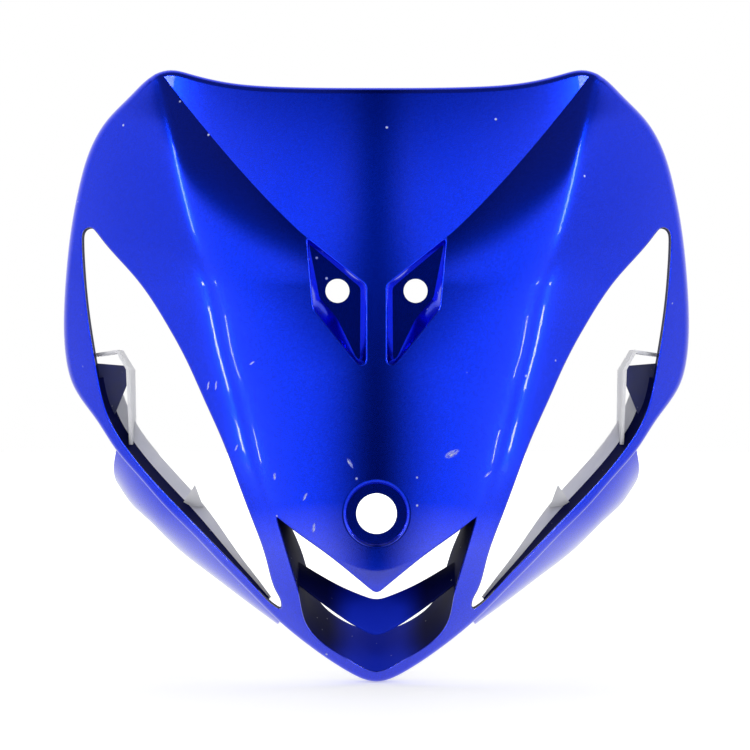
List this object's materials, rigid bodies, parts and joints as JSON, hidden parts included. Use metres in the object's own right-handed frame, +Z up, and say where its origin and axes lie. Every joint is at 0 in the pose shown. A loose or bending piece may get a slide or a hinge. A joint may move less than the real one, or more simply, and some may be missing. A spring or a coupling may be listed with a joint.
{
  "type": "front fairing panel",
  "caption": "Moulded nose fairing with leaf-shaped headlight openings, a screen shield, a badge hole and an intake mouth.",
  "frame": {"origin": "centre of the badge hole, on the floor of the badge recess", "axes": "+X across the panel, +Y into it from the front, +Z up; the front faces -Y"},
  "size_m": [0.4416, 0.169, 0.4136],
  "materials": {
    "blue_plastic": "glossy metallic blue paint, lightly scuffed"
  },
  "bodies": {
    "root": {"fairing_panel": "blue_plastic"}
  },
  "joints": []
}
